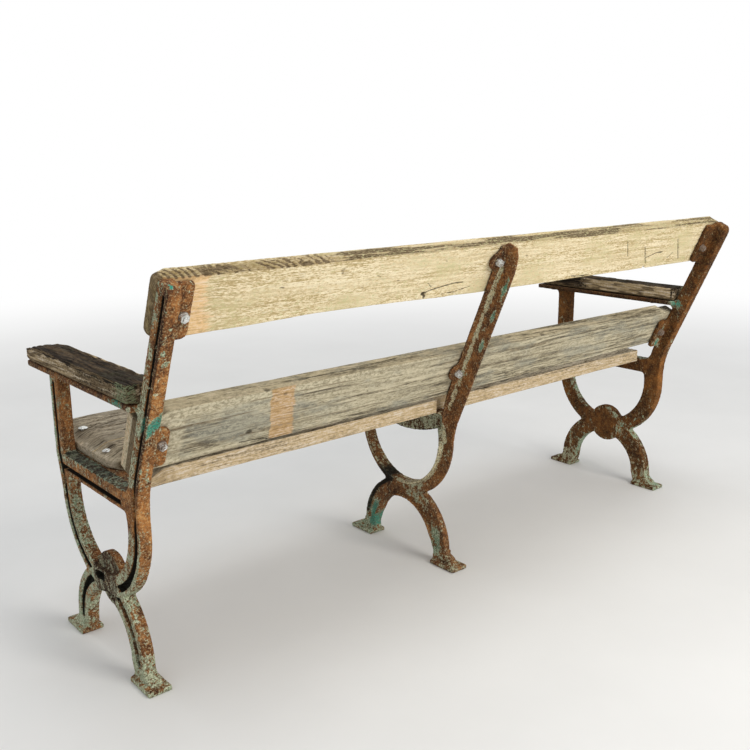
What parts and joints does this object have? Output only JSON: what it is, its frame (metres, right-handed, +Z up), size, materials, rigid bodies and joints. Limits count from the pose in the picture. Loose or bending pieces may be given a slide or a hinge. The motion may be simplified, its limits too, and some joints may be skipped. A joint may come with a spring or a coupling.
{
  "type": "garden bench",
  "caption": "Long garden bench with looped cast iron frames, arm boards and weathered timber slats for seat and back.",
  "frame": {"origin": "on the floor, under the middle of the overall box", "axes": "+X along the bench towards the sitter's left arm, +Y from the seat towards the back, +Z up"},
  "size_m": [1.88, 0.7028, 0.898],
  "materials": {
    "iron_left": "rough casting with worn paint and rust",
    "iron_right": "rough casting with worn paint and rust",
    "iron_middle": "rough casting with worn paint and rust",
    "slat_top": "weathered timber, open grain",
    "slat_lower": "weathered timber, open grain",
    "seat_rear": "grey weathered timber, worn edges",
    "seat_front": "grey weathered timber, worn edges",
    "arm_wood_left": "dark weathered timber, deeply grooved",
    "arm_wood_right": "dark weathered timber, deeply grooved",
    "zinc": "dull galvanised"
  },
  "bodies": {
    "root": {"end_frame_left": "iron_left", "end_frame_right": "iron_right", "middle_frame": "iron_middle", "top_back_slat": "slat_top", "lower_back_slat": "slat_lower", "seat_plank_rear": "seat_rear", "seat_plank_front": "seat_front", "arm_board_left": "arm_wood_left", "arm_board_right": "arm_wood_right", "top_slat_bolts": "zinc", "top_slat_washers": "zinc", "top_slat_nuts": "zinc", "lower_slat_bolts": "zinc", "lower_slat_washers": "zinc", "lower_slat_nuts": "zinc", "seat_rear_bolts": "zinc", "seat_rear_washers": "zinc", "seat_rear_nuts": "zinc", "seat_front_bolts": "zinc", "seat_front_washers": "zinc", "seat_front_nuts": "zinc", "arm_screws": "zinc"}
  },
  "joints": []
}
